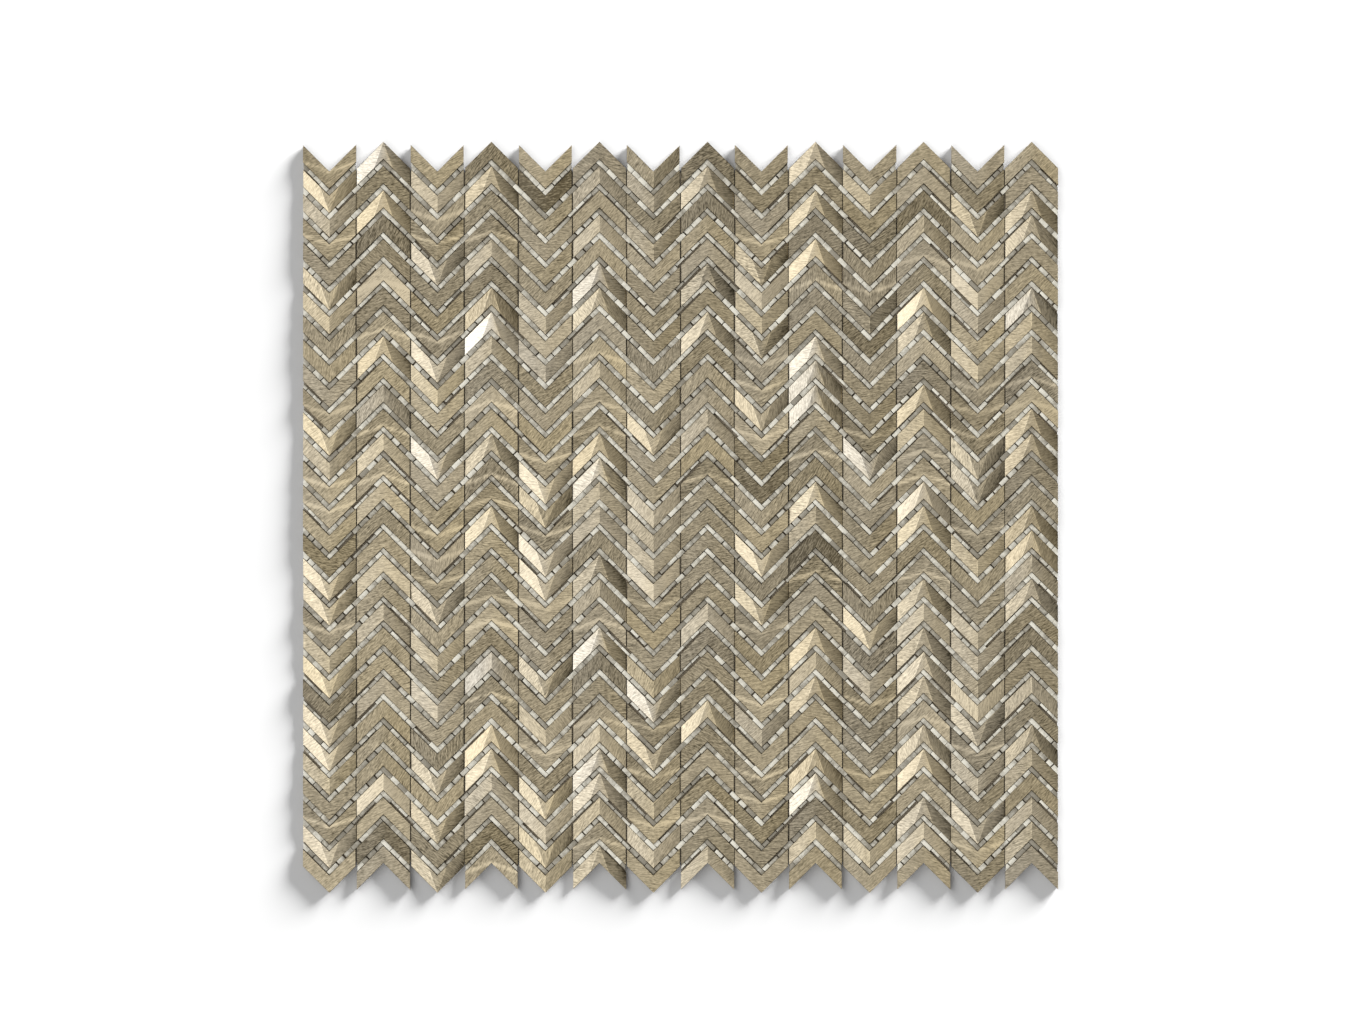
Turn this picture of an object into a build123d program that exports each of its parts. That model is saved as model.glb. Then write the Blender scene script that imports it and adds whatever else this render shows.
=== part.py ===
"""A mosaic tile sheet: brushed aluminium chevron chips, laid in columns on a thin mesh backing.

The sheet lies face up.  +X runs across the columns, +Y runs up them, and +Z is the face.
The origin is at the middle of the sheet, on the underside of the backing.
"""

import os
from math import cos, radians, sin, tan

from build123d import *

# Driving dimensions, in millimetres and degrees
column_count = 14
row_count = 30
column_pitch = 21.5
column_joint = 0.5
leg_width = 4.9
row_joint = 1.93
leg_angle = 45.0
chip_thickness = 3.0
backing_thickness = 0.8
backing_inset = 0.2

# Cuts on the chips' faces: how far each cut leans from level
deep_tilt = 11.0
shallow_tilt = 4.0
corner_tilt = 4.0
# How far along the inner edge, from the inner point, a deep cut's ridge ends
deep_ridge_share = 0.36

# Rows with a cut face, counted from the top, for each column from the left
deep_cut_rows = {
    1: (2, 6, 12, 18, 19, 22, 24, 25, 29),
    2: (1, 3, 9),
    3: (5, 9, 13, 19, 26, 28, 30),
    4: (2, 7, 8, 13, 16, 25, 26),
    5: (14, 15, 17, 18, 22, 27, 29),
    6: (6, 7, 13, 14, 18, 21, 26, 27, 30),
    7: (12, 23, 25),
    8: (2, 6, 8, 24),
    9: (5, 8, 11, 17, 19),
    10: (1, 3, 5, 9, 10, 11, 15, 21, 23, 26, 27),
    11: (13, 20),
    12: (7, 8, 11, 15, 16, 19, 21, 22, 23, 25, 26, 28),
    13: (3, 13, 14, 24, 28),
    14: (3, 4, 7, 12, 13, 16, 17, 19, 25),
}
shallow_cut_rows = {
    1: (3, 7, 13, 21, 26),
    2: (11, 13, 20, 27),
    3: (2, 10, 21, 23),
    4: (5, 9, 22, 27),
    5: (7, 9, 24, 28, 30),
    6: (2, 4, 10, 15, 16, 19, 25, 28),
    7: (1, 2, 4, 15, 16, 17, 18, 22, 27, 29),
    8: (12, 20, 30),
    9: (6, 7, 24),
    10: (16, 22, 29),
    11: (2, 7, 22, 29),
    12: (4, 12, 20, 29),
    13: (6, 7, 9, 17, 20, 21, 22, 23, 26),
    14: (8, 9, 18, 23, 26, 28, 29),
}
corner_cut_rows = {
    1: (1, 4, 11, 14, 15, 20, 28),
    2: (6, 8, 12, 14),
    3: (3, 4, 8, 16, 17, 18),
    4: (4, 11, 14, 15, 19, 20, 23, 30),
    5: (13, 16, 19, 25),
    6: (9, 11, 12, 20, 24, 29),
    7: (19, 24, 26, 28),
    8: (14, 28),
    9: (4, 9, 10, 12, 20, 23, 26, 27),
    10: (6, 13, 18),
    11: (6, 12, 23, 26),
    12: (5, 13, 14, 18, 24),
    13: (5, 10, 11, 12, 16, 25, 29),
    14: (10, 11),
}

# Sizes that follow from them
chip_half_width = (column_pitch - column_joint) / 2
slope = tan(radians(leg_angle))
chip_rise = chip_half_width * slope
leg_height = leg_width / cos(radians(leg_angle))
row_pitch = (leg_width + row_joint) / cos(radians(leg_angle))
# The joints run on from column to column in one zigzag, one row further down
column_stagger = column_pitch * slope - row_pitch
sheet_height = column_stagger + (row_count - 1) * row_pitch + leg_height
chip_top = backing_thickness + chip_thickness

# Corners of a chip that points up, seen from its inner point
outer_point = Vector(0, leg_height)
inner_point = Vector(0, 0)
outer_corner = Vector(chip_half_width, leg_height - chip_rise)
inner_corner = Vector(chip_half_width, -chip_rise)
deep_ridge_end = inner_point + (inner_corner - inner_point) * deep_ridge_share

# A cut falls away on the right of its ridge, seen along the ridge
cut_styles = {
    "plain": None,
    "deep": (deep_ridge_end, outer_point, deep_tilt),
    "shallow": (inner_point, outer_point, shallow_tilt),
    "corner": (inner_point, outer_corner, corner_tilt),
}


def cut_plane(start, end, tilt):
    """The sloping plane through a ridge of the chip's right leg."""
    along = (end - start).normalized()
    lean = sin(radians(tilt))
    return Plane(
        origin=(start.X, start.Y, chip_top),
        z_dir=(along.Y * lean, -along.X * lean, cos(radians(tilt))),
    )


def make_chip(style):
    """One chip that points up, on the backing: its right leg, cut as the style says, and the mirror image."""
    with BuildPart() as chip:
        with BuildSketch(Plane.XY.offset(backing_thickness)):
            with BuildLine():
                Polyline(inner_point, inner_corner, outer_corner, outer_point, close=True)
            make_face()
        extrude(amount=chip_thickness)
        if cut_styles[style]:
            split(bisect_by=cut_plane(*cut_styles[style]), keep=Keep.BOTTOM)
        mirror(about=Plane.YZ)
    return chip.part


def style_of(column, row):
    """The cut of the chip in that column and row."""
    if row in deep_cut_rows[column]:
        return "deep"
    if row in shallow_cut_rows[column]:
        return "shallow"
    if row in corner_cut_rows[column]:
        return "corner"
    return "plain"


def points_up(column):
    """Even columns point up and odd ones point down."""
    return column % 2 == 0


def column_x(column):
    """The middle of a column."""
    return (column - (column_count + 1) / 2) * column_pitch


def chip_place(column, row):
    """Where a chip's inner point goes, and which way the chip is turned."""
    if points_up(column):
        y = sheet_height / 2 - leg_height - (row - 1) * row_pitch
        return Location((column_x(column), y, 0))
    y = sheet_height / 2 - column_stagger - (row - 1) * row_pitch
    return Location((column_x(column), y, 0), (0, 0, 180))


os.makedirs("parts", exist_ok=True)

# Backing: one thin sheet under all the columns, trimmed along their zigzag ends
with BuildPart() as mesh_backing:
    with BuildSketch():
        side = chip_half_width - backing_inset
        head = sheet_height / 2 - backing_inset / cos(radians(leg_angle))
        foot = column_stagger - head
        for column in range(1, column_count + 1):
            turn = 0 if points_up(column) else 180
            with Locations(Location((column_x(column), 0, 0), (0, 0, turn))):
                Polygon(
                    (0, head),
                    (-side, head - side * slope),
                    (-side, foot - side * slope),
                    (0, foot),
                    (side, foot - side * slope),
                    (side, head - side * slope),
                    align=None,
                )
        # The strip under the joints between columns stays clear of the notches at both ends
        joined_width = (column_count - 1) * column_pitch + 2 * side
        joined_height = 2 * min(-foot, head - column_pitch / 2 * slope)
        Rectangle(joined_width, joined_height)
    extrude(amount=backing_thickness)
mesh_backing.part.label = "mesh_backing"
export_step(mesh_backing.part, "parts/mesh_backing.step")

# Chips: each column is laid from copies of the four chips
chips = {style: make_chip(style) for style in cut_styles}
for column in range(1, column_count + 1):
    with BuildPart() as chip_column:
        rows = range(1, row_count + 1)
        add([chips[style_of(column, row)].moved(chip_place(column, row)) for row in rows])
    chip_column.part.label = f"chip_column_{column:02d}"
    export_step(chip_column.part, f"parts/{chip_column.part.label}.step")
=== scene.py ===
"""A mosaic tile sheet: brushed champagne aluminium chevrons on a white mesh backing, lying face up."""

import math

import bpy
import numpy as np
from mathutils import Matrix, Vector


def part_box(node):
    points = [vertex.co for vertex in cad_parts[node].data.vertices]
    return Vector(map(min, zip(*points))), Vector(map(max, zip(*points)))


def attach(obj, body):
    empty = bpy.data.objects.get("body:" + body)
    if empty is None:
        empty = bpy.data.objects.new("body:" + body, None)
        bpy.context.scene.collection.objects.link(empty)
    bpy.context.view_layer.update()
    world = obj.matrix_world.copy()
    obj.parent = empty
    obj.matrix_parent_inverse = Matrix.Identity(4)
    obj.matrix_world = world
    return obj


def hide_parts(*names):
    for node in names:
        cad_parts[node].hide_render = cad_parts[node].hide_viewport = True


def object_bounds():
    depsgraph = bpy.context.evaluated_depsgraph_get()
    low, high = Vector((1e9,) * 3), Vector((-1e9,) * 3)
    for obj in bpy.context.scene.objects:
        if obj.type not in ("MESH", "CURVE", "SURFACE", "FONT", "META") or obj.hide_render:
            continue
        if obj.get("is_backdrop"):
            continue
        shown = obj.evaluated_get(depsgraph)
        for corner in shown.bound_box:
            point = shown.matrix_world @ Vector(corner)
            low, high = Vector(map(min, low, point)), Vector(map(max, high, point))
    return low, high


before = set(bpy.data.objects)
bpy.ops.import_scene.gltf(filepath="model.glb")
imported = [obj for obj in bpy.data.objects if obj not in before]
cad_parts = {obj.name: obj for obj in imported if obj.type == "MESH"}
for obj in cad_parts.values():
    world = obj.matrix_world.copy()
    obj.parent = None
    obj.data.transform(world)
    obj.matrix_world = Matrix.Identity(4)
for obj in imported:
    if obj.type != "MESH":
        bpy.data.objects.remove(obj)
cad_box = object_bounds()


# Backing: one sheet of white glass-fibre mesh, soaked in resin and rolled flat.
# The chips are glued to its face, which is painted brown as shade in the joints, and its back goes on the
# wall.


class Shade:
    """A value in a node tree: arithmetic on it adds Math nodes, and node() adds any other node."""

    def __init__(self, tree, socket):
        self.tree = tree
        self.socket = socket

    def node(self, kind, inputs, settings=(), output=0):
        """Adds a node of this kind, sets it up, then gives each input its link or its number."""
        made = self.tree.nodes.new(kind)
        for name, value in dict(settings).items():
            setattr(made, name, value)
        for key, value in inputs.items():
            if isinstance(value, Shade):
                self.tree.links.new(value.socket, made.inputs[key])
            else:
                made.inputs[key].default_value = value
        return Shade(self.tree, made.outputs[output])

    def math(self, operation, *values):
        return self.node("ShaderNodeMath", dict(enumerate(values)), {"operation": operation})

    def __add__(self, other):
        return self.math("ADD", self, other)

    def __radd__(self, other):
        return self.math("ADD", other, self)

    def __sub__(self, other):
        return self.math("SUBTRACT", self, other)

    def __rsub__(self, other):
        return self.math("SUBTRACT", other, self)

    def __mul__(self, other):
        return self.math("MULTIPLY", self, other)

    def __rmul__(self, other):
        return self.math("MULTIPLY", other, self)

    def axis(self, number):
        """One coordinate of this vector: 0 is x, 1 is y and 2 is z."""
        return self.node("ShaderNodeSeparateXYZ", {0: self}, (), number)

    def between(self, low, high):
        """0 below low, 1 above high, and a smooth step from one to the other."""
        ends = {0: self, 1: low, 2: high}
        return self.node("ShaderNodeMapRange", ends, {"interpolation_type": "SMOOTHSTEP"})

    def blend(self, first, second):
        """The first colour where this is 0 and the second where it is 1."""
        return self.node("ShaderNodeMix", {0: self, 6: first, 7: second}, {"data_type": "RGBA"}, 2)

    def noise(self, vector, scale, detail=2.0, roughness=0.5):
        """Soft noise from 0 to 1 on a vector."""
        sizes = {"Vector": vector, "Scale": scale, "Detail": detail, "Roughness": roughness}
        return self.node("ShaderNodeTexNoise", sizes)


def new_material(name):
    """A material with one surface shader, and a Shade to start its expressions from."""
    material = bpy.data.materials.new(name)
    material.use_nodes = True
    tree = material.node_tree
    surface = tree.nodes["Principled BSDF"]
    coordinates = tree.nodes.new("ShaderNodeTexCoord")
    return material, surface, Shade(tree, coordinates.outputs["Object"])


def feed(surface, **values):
    """Links each varying value to the shader's socket of that name, and sets each plain one."""
    for name, value in values.items():
        socket = surface.inputs[name.replace("_", " ")]
        if isinstance(value, Shade):
            value.tree.links.new(value.socket, socket)
        else:
            socket.default_value = value


strand_pitch = 0.003
strand_white = (0.8, 0.79, 0.76, 1)
# Painted shade for the backing's face, which shows only down in the joints
backing_shade_brown = (0.42, 0.36, 0.262, 1)
backing_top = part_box("mesh_backing")[1][2]

mesh_white, surface, place = new_material("resin_coated_mesh")
plan = [place.axis(number) for number in (0, 1)]
lines = [axis.math("PINGPONG", axis, strand_pitch / 2) * (2 / strand_pitch) for axis in plan]
strands = lines[0].math("MAXIMUM", lines[0], lines[1]).between(0.55, 0.8)
cloudy = place.noise(place, 60.0)
resin = cloudy.blend((0.62, 0.61, 0.58, 1), (0.72, 0.71, 0.68, 1))
# Painted shade: the face under the chips, seen only down in the joints, turns brown
face_in_shade = place.axis(2).between(backing_top - 0.0001, backing_top - 0.00002)
relief = strands + 0.3 * place.noise(place, 900.0)
feed(
    surface,
    Base_Color=face_in_shade.blend(strands.blend(resin, strand_white), backing_shade_brown),
    Roughness=0.5 + 0.25 * cloudy,
    Normal=relief.node("ShaderNodeBump", {"Strength": 0.6, "Distance": 0.0002, "Height": relief}),
)
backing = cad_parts["mesh_backing"]
backing.data.materials.clear()
backing.data.materials.append(mesh_white)


# Joint pads: the pale resin that stands in the joints between the rows, broken by the mesh's strands.
# Each joint runs straight at 45 degrees from the point of one column to the notch of the next.
# The pads are a little narrower than the joint, lower than the chips' faces, and painted dark deep down as
# shade.
column_count, row_count = 14, 30
column_pitch, column_joint = 0.0215, 0.0005
leg_width, row_joint = 0.0049, 0.00193
leg_angle = math.radians(45)
chip_half_width = (column_pitch - column_joint) / 2
leg_height = leg_width / math.cos(leg_angle)
row_pitch = (leg_width + row_joint) / math.cos(leg_angle)
column_stagger = column_pitch - row_pitch
sheet_height = column_stagger + (row_count - 1) * row_pitch + leg_height
chip_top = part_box("chip_column_01")[1][2]

pads_to_a_run = 7
pad_width = 0.0019
pad_top = chip_top - 0.0008


def column_x(column):
    """The middle of a column, counted from 1 at the left."""
    return (column - (column_count + 1) / 2) * column_pitch


def rim_of(rows, columns):
    """The points round the rim of a grid, in the order that keeps its outside on the right hand."""
    corner = np.arange(rows * columns).reshape(rows, columns)
    return np.concatenate((corner[:-1, 0], corner[-1, :-1], corner[:0:-1, -1], corner[0, :0:-1]))


def block_points(top, level):
    """Each grid of top points, followed by the feet of its rim straight below on one level."""
    copies, rows, columns = top.shape[:3]
    top = top.reshape(copies, rows * columns, 3)
    feet = top[:, rim_of(rows, columns)].copy()
    feet[..., 2] = level
    return np.concatenate((top, feet), axis=1)


def block_faces(copies, rows, columns):
    """The faces of many equal blocks: the quads of the top, a wall under its rim and one face below."""
    corner = np.arange(rows * columns).reshape(rows, columns)
    quads = (corner[:-1, :-1], corner[1:, :-1], corner[1:, 1:], corner[:-1, 1:])
    rim = rim_of(rows, columns)
    feet = rows * columns + np.arange(len(rim))
    walls = (rim, feet, np.roll(feet, -1), np.roll(rim, -1))
    quads = np.concatenate((np.stack(quads, axis=-1).reshape(-1, 4), np.stack(walls, axis=-1)))
    start = np.arange(copies)[:, None] * (rows * columns + len(rim))
    return (quads + start[..., None]).reshape(-1, 4).tolist() + (feet[::-1] + start).tolist()


def new_piece(name, points, faces, material, marks):
    """A mesh object at the origin that moves with the sheet, with the marks of its points as attributes."""
    mesh = bpy.data.meshes.new(name)
    mesh.from_pydata(points.reshape(-1, 3).tolist(), [], faces)
    mesh.materials.append(material)
    for mark, values in marks.items():
        layer = mesh.attributes.new(mark, "FLOAT", "POINT")
        layer.data.foreach_set("value", np.ascontiguousarray(values, dtype=np.float32).ravel())
    piece = bpy.data.objects.new(name, mesh)
    bpy.context.scene.collection.objects.link(piece)
    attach(piece, "root")
    return piece


def joint_runs():
    """Every straight run of joint: its start, its way across and up, its length and whether it is whole.

    A whole run starts under the point of a column that points up, and goes down to the notch of the next.
    A run that has no column to go on into stops just inside the side of its own column.
    """
    within_side = 0.00022
    whole_run = column_pitch / math.cos(leg_angle)
    half_run = chip_half_width / math.cos(leg_angle) - within_side
    joint_middle = (row_pitch + leg_height) / 2
    rows = np.arange(row_count - 1)
    runs = []
    for column in range(1, column_count + 1):
        for side in (1, -1):
            up = column % 2 == 0
            y = sheet_height / 2 - rows * row_pitch - joint_middle - (0 if up else column_stagger)
            ends_here = not 1 <= column + side <= column_count
            whole = np.full(len(rows), up and not ends_here)
            whole[-1] = False
            wanted = np.full(len(rows), up or ends_here)
            wanted[0] = True
            length = np.where(whole, whole_run, half_run)
            x = np.full(len(rows), column_x(column))
            across = np.full(len(rows), float(side))
            rise = np.full(len(rows), -1.0 if up else 1.0)
            runs.append(np.stack((x, y, across, rise, length, whole), axis=1)[wanted])
    return np.concatenate(runs)


def pad_spans(runs, draw):
    """Where the pads of each run start and end along it, and how the end of each pad slants.

    The bounds between pads lie at even steps, each shifted a little, and a tick is left open at every bound.
    A run that stops at a column's side has half the pads, and its last one is cut flush with that side.
    At a corner the pad of one run goes round it and the other butts against that pad.
    """
    end_pad, butt_gap = 0.0026, 0.0001
    bound_noise, least_tick, widest_tick = 0.00022, 0.00006, 0.0008
    x, _, across, rise, length, whole = runs.T
    pad_pitch = column_pitch / math.cos(leg_angle) / pads_to_a_run
    bound_count = pads_to_a_run + 1
    shift = draw.normal(0, bound_noise, (len(runs), bound_count))
    shift[:, [0, -1]] = 0
    bounds = np.arange(bound_count) * pad_pitch + shift
    stops = whole == 0
    half = pads_to_a_run // 2
    bounds[stops, half] += length[stops] - end_pad - half * pad_pitch
    slant = np.zeros((len(runs), pads_to_a_run))
    slant[stops, half] = (across * rise)[stops]
    openness = draw.uniform(0.1, 1, (len(runs), 1))
    tick = least_tick + openness * draw.uniform(0, widest_tick, (len(runs), bound_count))
    first, last = (bounds + tick / 2)[:, :-1], (bounds - tick / 2)[:, 1:]
    corner = pad_width / 2 * across
    first[:, 0] = np.where(across > 0, -corner, butt_gap - corner)
    last = np.minimum(last, length[:, None])
    # The first column's notches are reached from the right only
    round_it = np.where(x < column_x(2.5), pad_width / 2, corner)
    last[:, -1] = np.where(whole > 0, length + round_it - butt_gap, last[:, -1])
    return first, last, slant


def pad_tops(runs, draw):
    """The tops of all the pads, each a grid of 4 by 4 points.

    Both ways the grid goes shoulder, brow, brow, shoulder, and only the middle between the brows is flat.
    Length, width, height and lean differ a little from pad to pad.  Corner pads fill the joint snugly.
    The others have one width for each leg, 1 - u^3.2 / 2 of the joint's for an even u from 0 to 1, and
    are pushed to one side of the joint.
    """
    shortest, brow, play = 0.0009, 0.00014, 0.00002
    first, last, slant = pad_spans(runs, draw)
    kept = last - first > shortest
    step = np.repeat(runs[:, None], pads_to_a_run, axis=1)[kept]
    first, last = first[kept], last[kept]
    count = len(first)
    end = np.array([-1.0, -1.0, 1.0, 1.0])
    inset = np.array([0.0, brow, brow, 0.0])
    half_length = (last - first)[:, None] / 2
    # Between the corner pads, three pads lie in the first leg and two in the second
    leg = [0, 0, 0, 1, 1]
    snug = draw.uniform(0.84, 0.99, (len(runs), 1))
    loose = 1 - 0.5 * draw.uniform(0, 1, (len(runs), 2))[:, leg] ** 3.2
    side = runs[:, [2]] * draw.choice((-1.0, 1.0), (len(runs), 2), p=(0.35, 0.65))[:, leg]
    fill = np.concatenate((snug, loose, snug), axis=1)[kept]
    side = np.concatenate((0 * snug, side, 0 * snug), axis=1)[kept]
    half_width = pad_width / 2 * (fill + draw.uniform(-0.06, -0.005, count))[:, None]
    push = side[:, None] * np.maximum(0, pad_width / 2 - play - half_width)
    along = (end * (half_length - inset))[:, None, :] + draw.normal(0, 0.00005, (count, 4, 4))
    over = (push - end * (half_width - inset))[:, :, None] + draw.normal(0, 0.000006, (count, 4, 4))
    along = along + slant[kept][:, None, None] * over * (end > 0)
    lean = draw.normal(0, 0.03, (2, count, 1, 1))
    top = pad_top + draw.normal(0, 0.00012, (count, 1, 1))
    lowered = np.where(np.maximum.outer(inset == 0, inset == 0), brow * 0.8, 0.0)
    z = top - lowered + lean[0] * along + lean[1] * over
    along = along + ((first + last) / 2)[:, None, None]
    east, north = step[:, 2:4].T[:, :, None, None] * math.cos(leg_angle)
    x = step[:, 0, None, None] + east * along - north * over
    y = step[:, 1, None, None] + north * along + east * over
    return np.stack((x, y, z), axis=-1)


resin_grey = (0.33, 0.3, 0.235, 1)
resin_cream = (0.9, 0.865, 0.745, 1)
pad_shade_brown = (0.3, 0.252, 0.18, 1)

resin_white, surface, place = new_material("pale_joint_resin")
whiteness = place.node("ShaderNodeAttribute", {}, {"attribute_name": "whiteness"}, "Fac")
worn = whiteness + 1.4 * (place.noise(place, 500.0, 3.0) - 0.5)
pale = worn.between(0.0, 1.0).blend(resin_grey, resin_cream)
# Painted shade: the pads' walls turn dark brown deep in the joint
in_the_open = place.axis(2).between(pad_top - 0.001, pad_top - 0.0004)
speck = place.noise(place, 2200.0, 2.0)
feed(
    surface,
    Base_Color=in_the_open.blend(pad_shade_brown, pale),
    Roughness=0.45 + 0.3 * speck,
    Normal=speck.node("ShaderNodeBump", {"Strength": 0.5, "Distance": 0.0001, "Height": speck}),
)
draw = np.random.default_rng(3)
pad_blocks = block_points(pad_tops(joint_runs(), draw), backing_top)
pad_faces = block_faces(len(pad_blocks), 4, 4)
pad_whiteness = draw.normal(0.48, 0.27, (len(pad_blocks), 1))
pad_marks = {"whiteness": np.broadcast_to(pad_whiteness, pad_blocks.shape[:2])}
pads = new_piece("joint_pads", pad_blocks, pad_faces, resin_white, pad_marks)
pads.data.shade_smooth()
pads.data.set_sharp_from_angle(angle=math.radians(50))


# Chips: chevrons of champagne-toned aluminium, sawn from brushed bar and glued on one by one.
# Some faces are ground away from a ridge, so that one leg looks left and the other looks right.
# The ground faces follow the solids; each chip also sits a little out of level, with uneven ends.


def ground_depths(column):
    """How far a column's chips are ground away at the outer and the inner corner of a leg, row by row."""
    reach = 0.0002
    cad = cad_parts[f"chip_column_{column:02d}"].data
    corners = np.empty(len(cad.vertices) * 3)
    cad.vertices.foreach_get("co", corners)
    corners = corners.reshape(-1, 3)
    inner_y, turn = inner_points(column)
    depths = []
    for leg_y in (leg_height - chip_half_width, -chip_half_width):
        x = column_x(column) + turn * chip_half_width
        y = inner_y + turn * leg_y
        near = np.hypot(corners[:, 0] - x, corners[:, 1] - y[:, None]) < reach
        depths.append(chip_top - np.where(near, corners[:, 2], 0.0).max(axis=1))
    return depths


def inner_points(column):
    """The height of each chip's inner point, and 1 for a column that points up or -1 for down."""
    rows = np.arange(row_count)
    if column % 2 == 0:
        return sheet_height / 2 - leg_height - rows * row_pitch, 1.0
    return sheet_height / 2 - column_stagger - rows * row_pitch, -1.0


def chip_tops(column, draw, sawing):
    """The tops of one column's chips, each a grid of 5 by 9 points, and the marks of those points.

    Across, s goes from -1 at the left end to 1 at the right; down the leg, v goes from 0 at the outer
    edge to 1 at the inner edge.  A leg's ground plane is a + s (b - a) + v (c - b), with b and c its depths
    at the outer and inner corner and a = min(0, b - c) at the point, and only its positive part is taken off.
    One column of the grid follows the ridge, where that plane is 0.  The next column and the middle row
    take off a little less, as the ground faces are a little round.
    """
    arris, bulge_across, bulge_down = 0.00015, 0.1, 0.07
    most_short, most_long = 0.0001, 0.0002
    no_ridge = -9.0
    v_rim = arris / math.cos(leg_angle) / leg_height
    edge = 1 - 0.3 * arris / chip_half_width
    clear_of_edge = 0.015
    outer, inner = ground_depths(column)
    b, c = outer[:, None, None], inner[:, None, None]
    a = np.minimum(0, b - c)
    v = np.array([0.0, v_rim, 0.5, 1 - v_rim, 1.0])[:, None]
    ridge = -(a + v * (c - b)) / np.maximum(b - a, 1e-6)
    ridge = np.clip(ridge, clear_of_edge, edge - clear_of_edge)
    half = np.concatenate((ridge, (ridge + edge) / 2, 0 * ridge + edge, 0 * ridge + 1), axis=2)
    s = np.concatenate((-half[..., ::-1], 0 * ridge, half), axis=2)
    plane = a + np.abs(s) * (b - a) + v * (c - b)
    taken = np.maximum(0, plane)
    taken[..., [2, 6]] -= bulge_across * taken[..., [1, 7]]
    taken[:, 2] *= 1 - bulge_down
    # The ends are sawn a little short or long, but not past the sheet's sides
    longer = sawing.uniform(-most_short, most_long, (2, row_count, 1, 1))
    if column in (1, column_count):
        longer[1] = np.minimum(0, longer[1])
    x = chip_half_width * s + (np.abs(s) >= edge) * np.where(s < 0, -longer[0], longer[1])
    y = leg_height * (1 - v) - np.abs(x)
    lean = draw.normal(0, 0.016, (2, row_count, 1, 1))
    uneven = lean[0] * x + lean[1] * (y + chip_half_width / 2)
    shoulder = np.zeros((5, 9), dtype=bool)
    shoulder[[0, -1], :] = True
    shoulder[:, [0, -1]] = True
    z = chip_top - taken + uneven - uneven.max(axis=(1, 2), keepdims=True) - arris * shoulder
    inner_y, turn = inner_points(column)
    top = np.stack((column_x(column) + turn * x, inner_y[:, None, None] + turn * y, z), axis=-1)
    steepness = np.hypot((b - a) / chip_half_width - (c - b) / leg_height, (c - b) / leg_height)
    # The rims and the walls below are cut metal, painted darker as the shade along the joints
    sawn_and_shaded = np.where(shoulder, 0.35, 0.0)
    sawn_and_shaded[1:-1, [0, -1]] = 0.1
    marks = {
        "ridge_gap": np.where(c > 0, plane / np.maximum(steepness, 0.01) * 1000, no_ridge),
        "corner_cut": 1.0 * (a < 0),
        "end_cut": 1.0 * (b * (b >= c) > 0),
        # Painted shade for the leg that looks right: darker where more is ground off, lighter towards the
        # inner edge
        "painted_leg_shade": 0.35 * (taken * 1000) ** 2 - 0.18 * v,
        "sawn_and_shaded": sawn_and_shaded,
    }
    return top, marks


def chip_marks(marks, shape):
    """The marks of the tops, carried down to the feet of the walls, which are cut metal painted dark as shade
    all over.
    """
    rim = rim_of(*shape[1:3])
    carried = {}
    for name, mark in marks.items():
        mark = np.broadcast_to(mark, shape[:3]).reshape(shape[0], -1)
        feet = mark[:, rim] if name != "sawn_and_shaded" else np.ones((shape[0], len(rim)))
        carried[name] = np.concatenate((mark, feet), axis=1)
    return carried


def brush_map(mesh, points, draw):
    """A UV map in millimetres with u along each chip's brush strokes, turned and shifted chip by chip."""
    offset = (points - points.mean(axis=1, keepdims=True))[..., :2] * 1000
    angle = draw.normal(0.45, 0.45, (len(points), 1))
    u = np.cos(angle) * offset[..., 0] + np.sin(angle) * offset[..., 1]
    v = np.cos(angle) * offset[..., 1] - np.sin(angle) * offset[..., 0]
    shift = draw.uniform(0, 400, (2, len(points), 1))
    stroke = np.stack((u + shift[0], v + shift[1]), axis=-1).reshape(-1, 2)
    loops = np.empty(len(mesh.loops), dtype=np.int32)
    mesh.loops.foreach_get("vertex_index", loops)
    layer = mesh.uv_layers.new(name="brush")
    layer.data.foreach_set("uv", stroke[loops].ravel())


def rows_to_numbers(rows, column, value):
    """The value in the rows listed for a column, and 0 in the others."""
    numbers = np.zeros((row_count, 1, 1))
    numbers[[row - 1 for row in rows.get(column, ())]] = value
    return numbers


# Bars came in several shades; these chips are from the darker and the goldest ones, and the listed pale chips
# get a paler left leg, a painted highlight
dark_rows = {
    1: (5, 16, 23), 2: (2, 4, 5), 3: (6, 22), 4: (6, 24), 5: (2, 6, 12), 6: (5, 22, 23), 7: (6,),
    8: (1, 15), 9: (13, 28), 10: (12, 17, 28), 11: (4, 9, 17, 28), 12: (3, 17), 14: (14,),
}
pale_rows = {
    2: (1,), 3: (13,), 4: (8, 22), 6: (6, 14, 21, 26), 7: (23,), 10: (9, 10, 11, 27), 11: (13,), 14: (7,),
}
gold_rows = {
    1: (2,), 2: (3, 9), 4: (7, 25, 26), 6: (13,), 10: (5, 21, 23, 26), 12: (7, 11, 26),
    14: (3, 12, 13, 16, 17),
}
# Cut metal, painted darker as the shade in the joints
sawn_and_shaded_brown = (0.2, 0.155, 0.095, 1)

champagne, surface, place = new_material("brushed_champagne_aluminium")
names = ("tone", "warmth", "gold", "pale", "ridge_gap", "corner_cut", "sawn_and_shaded")
marked = {name: place.node("ShaderNodeAttribute", {}, {"attribute_name": name}, "Fac") for name in names}
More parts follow.
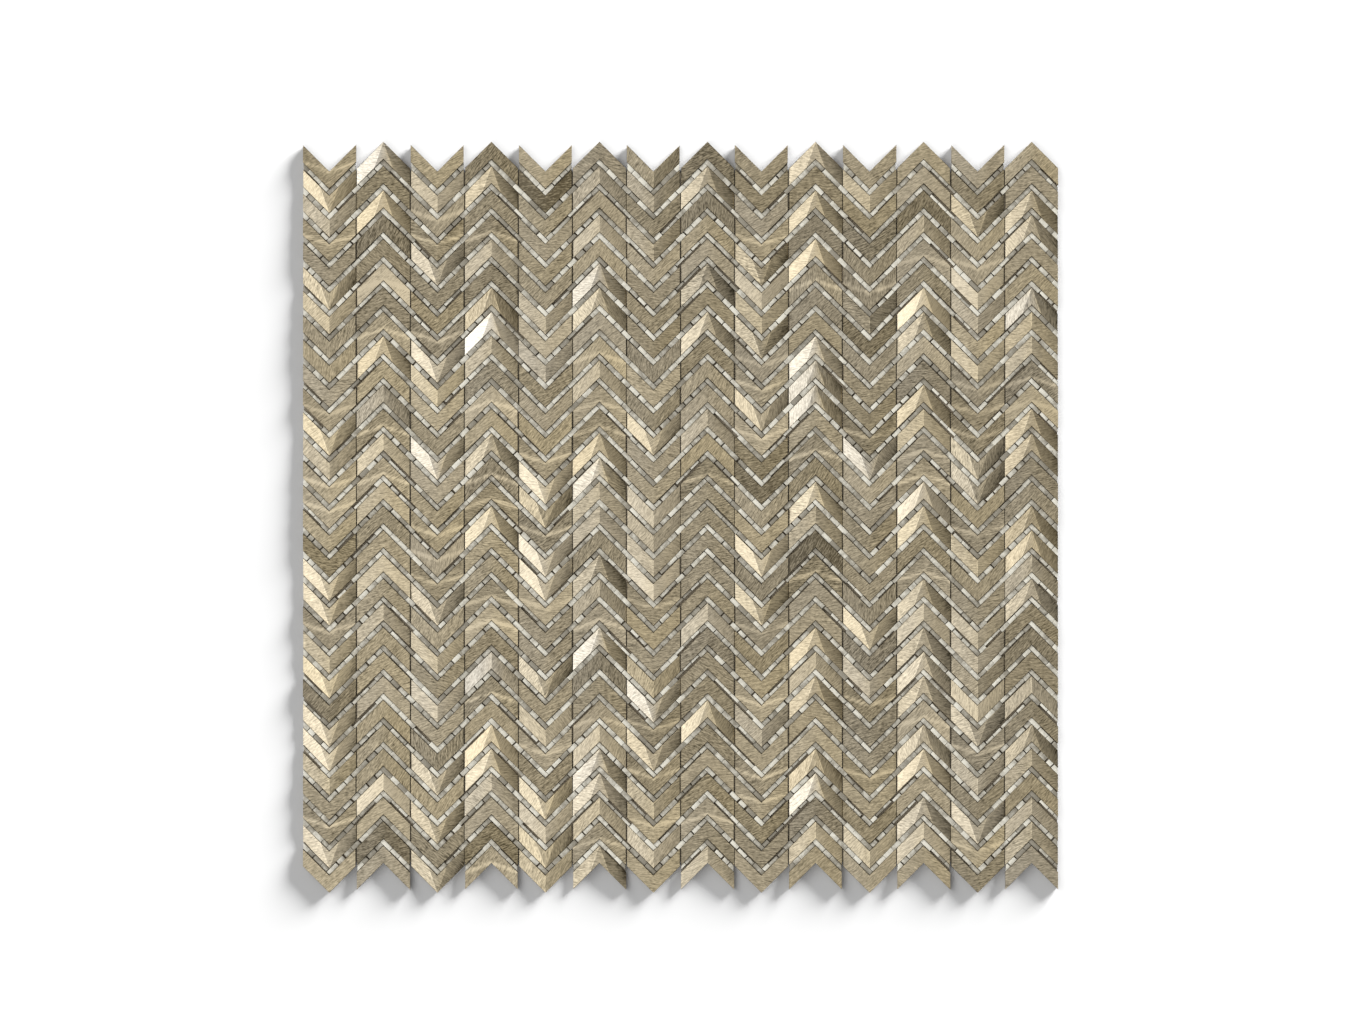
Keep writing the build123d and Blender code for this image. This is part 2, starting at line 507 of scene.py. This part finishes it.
# Brush strokes of three lengths that wander a little, and blotches between them
stroke = place.node("ShaderNodeUVMap", {}, {"uv_map": "brush"})
wander = place.noise(stroke, 0.15, 1.0) - 0.5
along = stroke.axis(0)
across = stroke.axis(1) + 1.8 * wander
fine = stroke.node("ShaderNodeCombineXYZ", {0: 0.2 * along, 1: 2.3 * across})
broad = stroke.node("ShaderNodeCombineXYZ", {0: 0.1 * along, 1: 0.9 * across})
short = stroke.node("ShaderNodeCombineXYZ", {0: 0.7 * along, 1: 2.1 * across})
fine_strokes = stroke.noise(fine, 1.0, 2.0, 0.6) - 0.5
broad_strokes = stroke.noise(broad, 1.0, 2.0) - 0.5
short_strokes = stroke.noise(short, 1.0, 2.0) - 0.5
mottle = stroke.noise(stroke, 0.4, 3.0, 0.6) - 0.5
# A painted highlight: a bright streak along the ridge, wider on the corner cuts
from_ridge = marked["ridge_gap"] + (0.15 + marked["corner_cut"]) * mottle
ridge_highlight = 1 - from_ridge.math("ABSOLUTE", from_ridge).between(0.0, 0.35 + marked["corner_cut"])
ridge_highlight = ridge_highlight * (0.3 + 0.25 * marked["corner_cut"] + 2.2 * broad_strokes)
texture = 1.5 * fine_strokes + 0.3 * broad_strokes + 1.45 * short_strokes + 0.5 * mottle
brightness = 0.83 * (marked["tone"] + texture + 0.9 * ridge_highlight + 0.1)
cool = brightness.blend((0.0725, 0.062, 0.042, 1), (0.652, 0.562, 0.404, 1))
warm = brightness.blend((0.0775, 0.062, 0.034, 1), (0.678, 0.562, 0.352, 1))
golden = brightness.blend((0.185, 0.145, 0.08, 1), (0.685, 0.565, 0.355, 1))
silver = brightness.blend((0.26, 0.235, 0.19, 1), (0.9, 0.85, 0.755, 1))
taupe = marked["warmth"].blend(cool, warm)
polished = marked["pale"].blend(marked["gold"].blend(taupe, golden), silver)
scratches = fine_strokes + 0.6 * broad_strokes + 0.3 * short_strokes
feed(
    surface,
    Base_Color=marked["sawn_and_shaded"].blend(polished, sawn_and_shaded_brown),
    Metallic=1.0,
    Roughness=0.32 + 0.2 * fine_strokes,
    Normal=scratches.node("ShaderNodeBump", {"Strength": 0.2, "Distance": 0.00008, "Height": scratches}),
)

draw = np.random.default_rng(11)
sawing = np.random.default_rng(5)
leg_change = 0.004
for column in range(1, column_count + 1):
    tops, marks = chip_tops(column, draw, sawing)
    tone = draw.normal(0.47, 0.12, (row_count, 1, 1)) + rows_to_numbers(dark_rows, column, -0.14)
    gold = draw.uniform(0.0, 0.3, (row_count, 1, 1)) + rows_to_numbers(gold_rows, column, 0.7)
    pale = draw.uniform(0.0, 0.2, (row_count, 1, 1)) + rows_to_numbers(pale_rows, column, 0.5)
    # A ground chip is lighter all over, and the leg that looks right is painted darker towards its low corner
    # and lighter towards its inner edge, as shade
    end_cut, painted_leg_shade = marks.pop("end_cut"), marks.pop("painted_leg_shade")
    right_leg = np.clip(0.5 + (tops[..., 0] - column_x(column)) / leg_change, 0.0, 1.0)
    marks["tone"] = tone + end_cut * (0.14 + (0.06 - painted_leg_shade) * right_leg)
    marks["warmth"] = sawing.uniform(0.0, 1.0, (row_count, 1, 1))
    marks["gold"] = gold
    # Painted highlight: only the leg that looks left, towards the light, is made paler
    marks["pale"] = (pale + 0.12 * end_cut) * (1 - right_leg)
    points = block_points(tops, backing_top)
    faces = block_faces(*tops.shape[:3])
    name = f"chevron_chips_{column:02d}"
    marks = chip_marks(marks, tops.shape)
    chips = new_piece(name, points, faces, champagne, marks)
    chips.data.shade_smooth()
    chips.data.set_sharp_from_angle(angle=math.radians(5.5))
    brush_map(chips.data, points, draw)
    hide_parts(f"chip_column_{column:02d}")


# Stage: a white floor under the sheet, and studio light that is strongest at the left.
# The broad light is the sky itself; one lamp from the upper right gives the floor its shadow.
floor_half = 4.0
floor_corners = [(-floor_half, -floor_half, 0), (floor_half, -floor_half, 0)]
floor_corners += [(floor_half, floor_half, 0), (-floor_half, floor_half, 0)]

floor_white, surface, place = new_material("studio_floor")
feed(surface, Base_Color=(0.5, 0.5, 0.5, 1), Roughness=0.9, Specular_IOR_Level=0.0)
floor_mesh = bpy.data.meshes.new("floor")
floor_mesh.from_pydata(floor_corners, [], [(0, 1, 2, 3)])
floor_mesh.materials.append(floor_white)
floor = bpy.data.objects.new("floor", floor_mesh)
bpy.context.scene.collection.objects.link(floor)
floor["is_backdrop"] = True

# The sky's light from its right side, at 0, to its left side, at 1
sky_steps = (
    (0.0, 0.25), (0.29, 0.29), (0.43, 0.62), (0.5, 0.72), (0.57, 1.22),
    (0.64, 1.72), (0.71, 2.45), (0.85, 1.0), (1.0, 0.3),
)
sky_strength = 2.6

world = bpy.data.worlds.new("studio")
bpy.context.scene.world = world
world.use_nodes = True
sky = world.node_tree
heading = Shade(sky, sky.nodes.new("ShaderNodeTexCoord").outputs["Generated"])
east, north, up = [heading.axis(number) for number in (0, 1, 2)]
lit_side = 0.5 - 0.5 * (0.3 * north + east)
ramp = sky.nodes.new("ShaderNodeValToRGB")
while len(ramp.color_ramp.elements) < len(sky_steps):
    ramp.color_ramp.elements.new(0.5)
for element, (position, light) in zip(ramp.color_ramp.elements, sky_steps):
    element.position = position
    element.color = (light / sky_strength, light / sky_strength, light / sky_strength, 1)
sky.links.new(lit_side.socket, ramp.inputs["Fac"])
# A soft box at the upper left, which leaves the shaded side of the joints dark
towards_box = 0.62 * up + 0.56 * north - 0.56 * east
soft_box = 0.7 * towards_box.between(0.93, 0.99)
glow = Shade(sky, ramp.outputs["Color"]) * (0.4 + 0.6 * up.between(0.3, 0.8)) + soft_box
background = sky.nodes["Background"]
sky.links.new(glow.socket, background.inputs["Color"])
background.inputs["Strength"].default_value = sky_strength

shadow_lamp = bpy.data.lights.new("shadow_lamp", "SUN")
shadow_lamp.energy = 19.2
shadow_lamp.angle = math.radians(28)
lamp = bpy.data.objects.new("shadow_lamp", shadow_lamp)
lamp.rotation_euler = (math.radians(-78), 0, math.radians(-45))
bpy.context.scene.collection.objects.link(lamp)
lit_by_lamp = bpy.data.collections.new("lit_by_shadow_lamp")
lit_by_lamp.objects.link(floor)
lamp.light_linking.receiver_collection = lit_by_lamp

# Camera: straight above the middle of the sheet, far off with a long lens
image_width = 1361
metres_per_pixel = 0.0003979
picture_middle_y = -0.0003
camera_data = bpy.data.cameras.new("camera")
camera_data.sensor_fit = "HORIZONTAL"
camera_data.sensor_width = 36.0
camera_data.lens = 200.0
camera = bpy.data.objects.new("camera", camera_data)
distance = image_width * metres_per_pixel * camera_data.lens / camera_data.sensor_width
camera.location = (0, picture_middle_y, chip_top + distance)
bpy.context.scene.collection.objects.link(camera)
bpy.context.scene.camera = camera
bpy.context.scene.view_settings.view_transform = "Standard"

sizes = {"cad": cad_box, "visual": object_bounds()}
sizes = {name: [[float(value) for value in corner] for corner in box] for name, box in sizes.items()}
